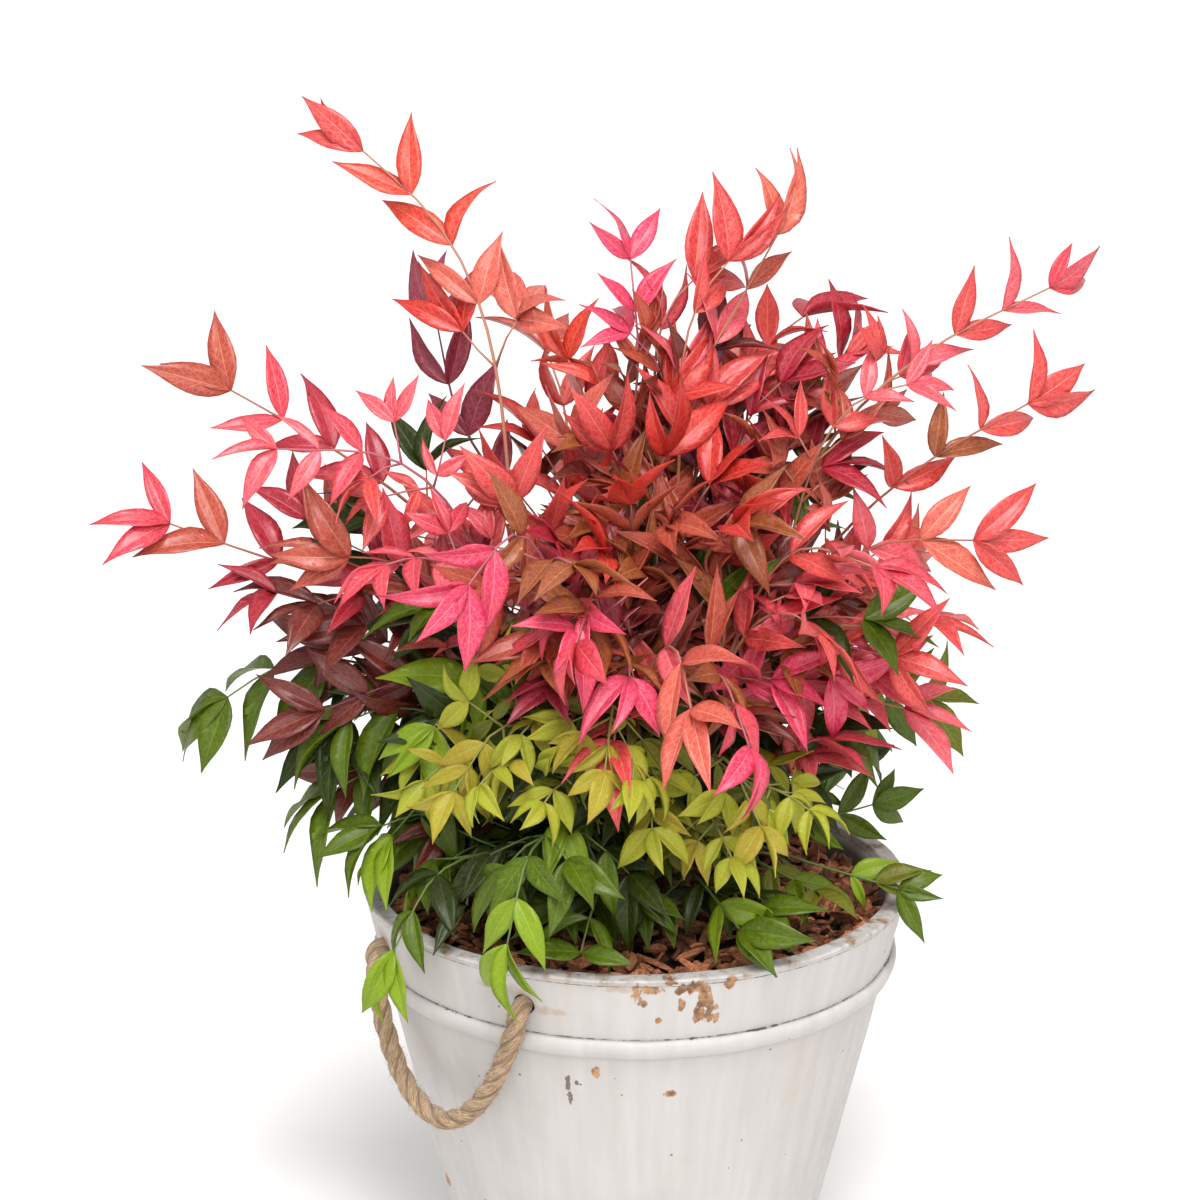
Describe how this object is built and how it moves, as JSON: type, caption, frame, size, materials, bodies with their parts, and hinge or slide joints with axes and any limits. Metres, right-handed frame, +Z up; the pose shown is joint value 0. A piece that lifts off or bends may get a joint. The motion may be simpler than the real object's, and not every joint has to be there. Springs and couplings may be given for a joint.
{
  "type": "potted shrub",
  "caption": "Bushy potted shrub with red and green compound leaves on bare canes, in a tapered limewashed wooden bucket with rope handles.",
  "frame": {"origin": "centre of the bucket's flat underside", "axes": "+Z up along the bucket's axis, +X to the right and +Y away from a viewer who faces the spray side"},
  "size_m": [0.6123, 0.4909, 0.7722],
  "materials": {
    "limewash": "worn white limewash over pine",
    "jute": "coarse twisted jute",
    "potting_soil": "moist dark mix",
    "bark_chips": "rough chipped bark",
    "cane_bark": "grey-brown ridged bark",
    "red_leaf": "satin leaf",
    "coral_leaf": "satin leaf",
    "rose_leaf": "satin leaf",
    "wine_leaf": "satin leaf",
    "green_leaf": "glossy leaf",
    "lime_leaf": "satin leaf"
  },
  "bodies": {
    "root": {"bark_mulch": "bark_chips", "bucket": "limewash", "cane_1": "cane_bark", "cane_2": "cane_bark", "cane_3": "cane_bark", "cane_4": "cane_bark", "cane_5": "cane_bark", "cane_6": "cane_bark", "cane_7": "cane_bark", "hoop": "limewash", "rope_handle_1": "jute", "rope_handle_2": "jute", "soil": "potting_soil", "spray_coral_front_right": "coral_leaf", "spray_crimson_right": "red_leaf", "spray_dark_left": "wine_leaf", "spray_far_high_1": "coral_leaf", "spray_far_high_2": "coral_leaf", "spray_far_low_1": "green_leaf", "spray_far_low_2": "green_leaf", "spray_far_low_3": "green_leaf", "spray_far_middle_1": "red_leaf", "spray_far_middle_2": "red_leaf", "spray_far_middle_3": "red_leaf", "spray_green_front": "green_leaf", "spray_green_front_left": "green_leaf", "spray_green_left": "green_leaf", "spray_green_left_rim": "green_leaf", "spray_green_low_left": "green_leaf", "spray_green_low_right": "green_leaf", "spray_green_right": "green_leaf", "spray_green_upper_right": "green_leaf", "spray_heart_left": "red_leaf", "spray_heart_right": "red_leaf", "spray_high_left": "coral_leaf", "spray_high_right": "coral_leaf", "spray_left": "red_leaf", "spray_lime_front": "lime_leaf", "spray_lime_left": "lime_leaf", "spray_lime_right": "lime_leaf", "spray_low_left": "wine_leaf", "spray_middle_front": "red_leaf", "spray_over_rim_front": "green_leaf", "spray_over_rim_left": "green_leaf", "spray_over_rim_right": "green_leaf", "spray_pink_front": "rose_leaf", "spray_pink_front_right": "coral_leaf", "spray_pink_left": "rose_leaf", "spray_pink_low": "rose_leaf", "spray_pink_right": "rose_leaf", "spray_right": "red_leaf", "spray_right_low": "coral_leaf", "spray_rim_front_right": "green_leaf", "spray_rose_front_left": "rose_leaf", "spray_top_left": "coral_leaf", "spray_top_middle": "rose_leaf", "spray_top_right": "coral_leaf", "spray_upper_left": "red_leaf", "spray_upper_right": "red_leaf", "spray_wine_left": "wine_leaf"}
  },
  "joints": []
}
